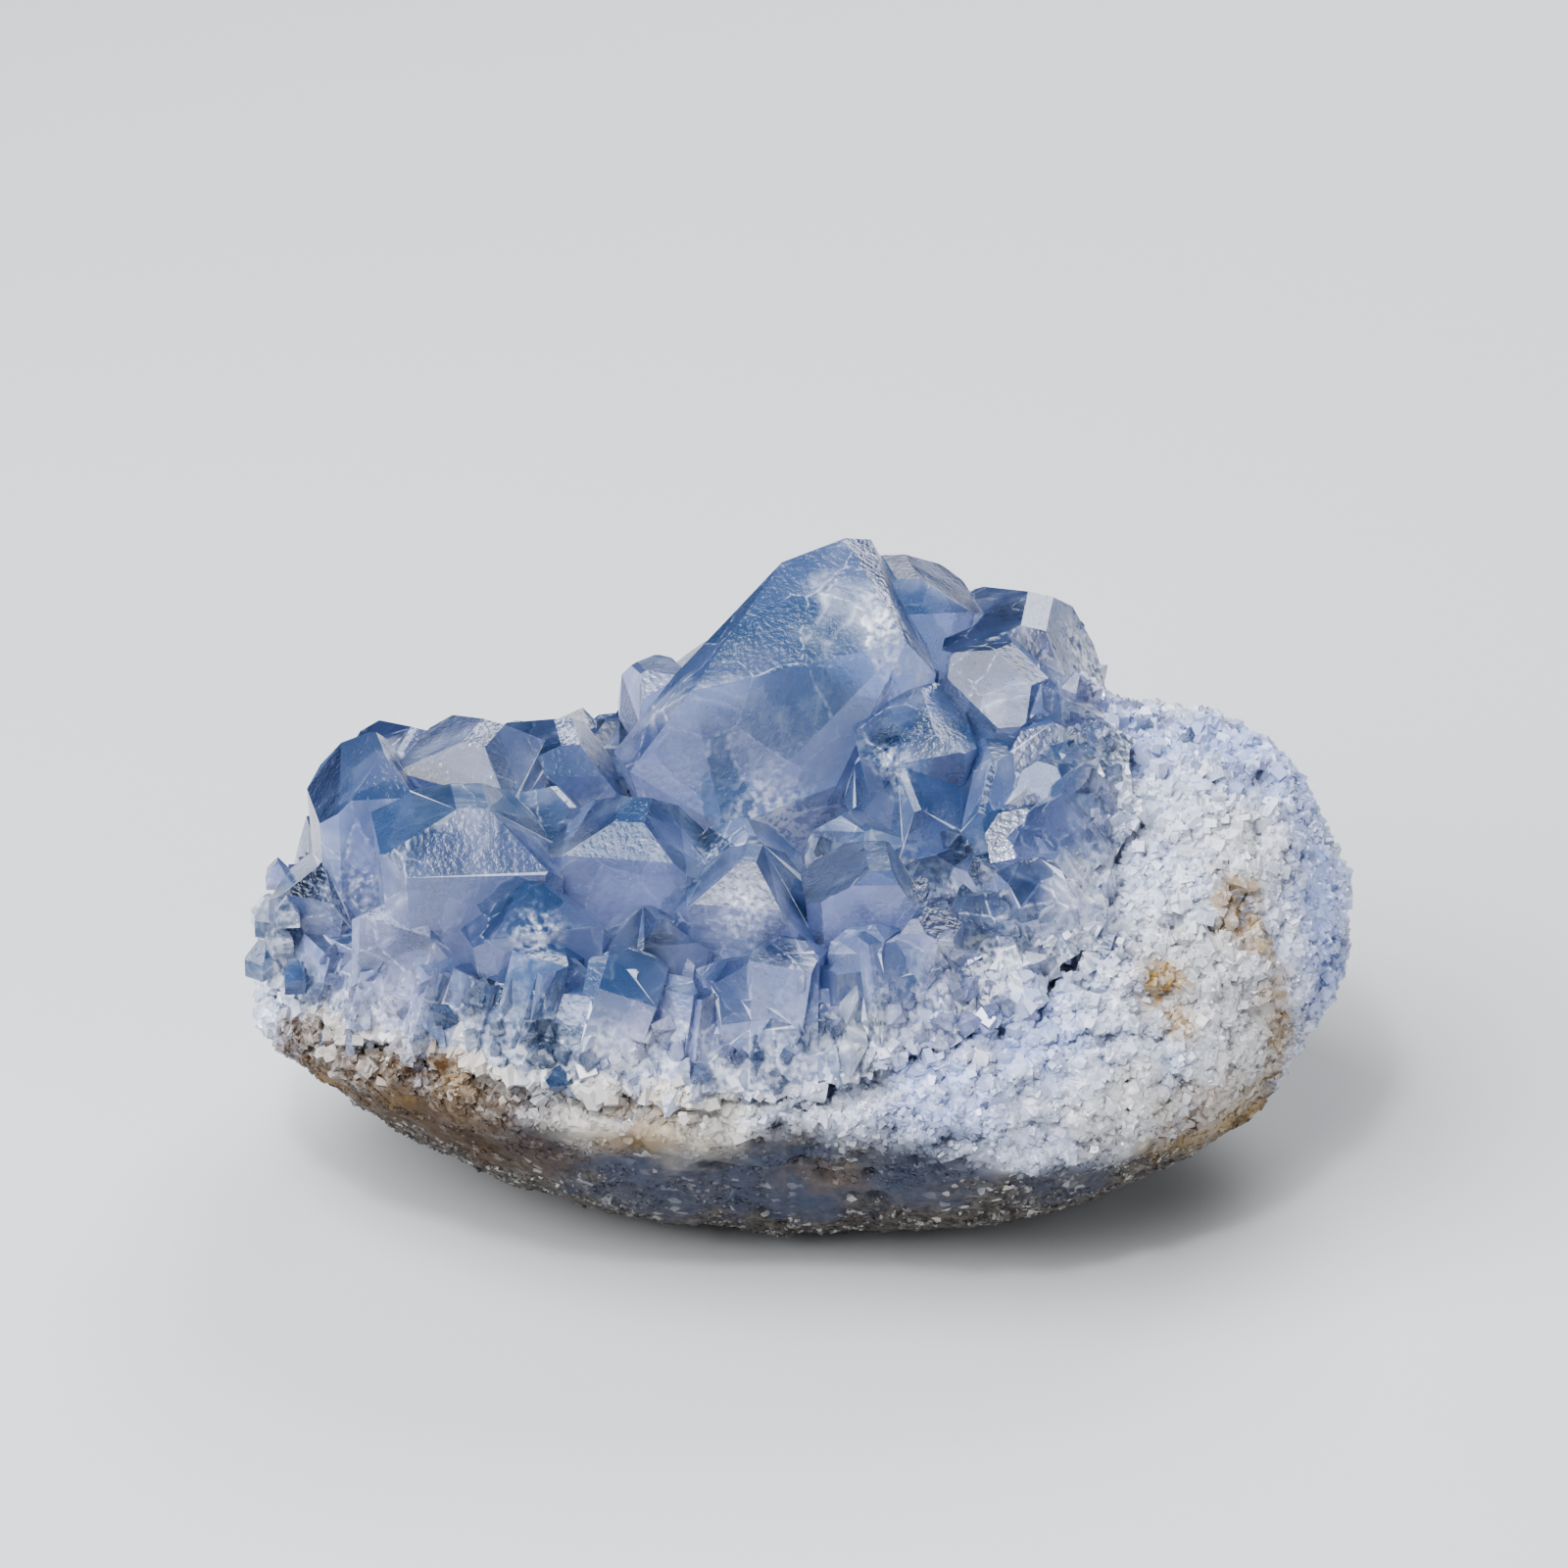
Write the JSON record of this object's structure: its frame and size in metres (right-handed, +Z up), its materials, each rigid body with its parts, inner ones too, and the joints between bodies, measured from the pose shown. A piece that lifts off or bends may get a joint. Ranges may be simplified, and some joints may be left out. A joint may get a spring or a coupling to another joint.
{
  "type": "celestite geode",
  "caption": "Broken piece of a celestite geode: a rounded granular rock wall resting on a small flat, lined and crowned with pale blue see-through chisel-tipped crystals.",
  "frame": {"origin": "middle of the piece's footprint, on the surface it rests on", "axes": "+Z up, +X to the right along the long side towards the high granular wall, -Y towards the low front edge of the crust"},
  "size_m": [0.0932, 0.0608, 0.0504],
  "materials": {
    "granular_wall": "sugary blue-white broken wall over a fine grey-brown weathered rind with rust stains",
    "blue_crystal": "see-through pale blue celestine, glassy faces with frosted patches and white veils"
  },
  "bodies": {
    "root": {"stone_wall": "granular_wall", "crystal_crust": "blue_crystal"}
  },
  "joints": []
}
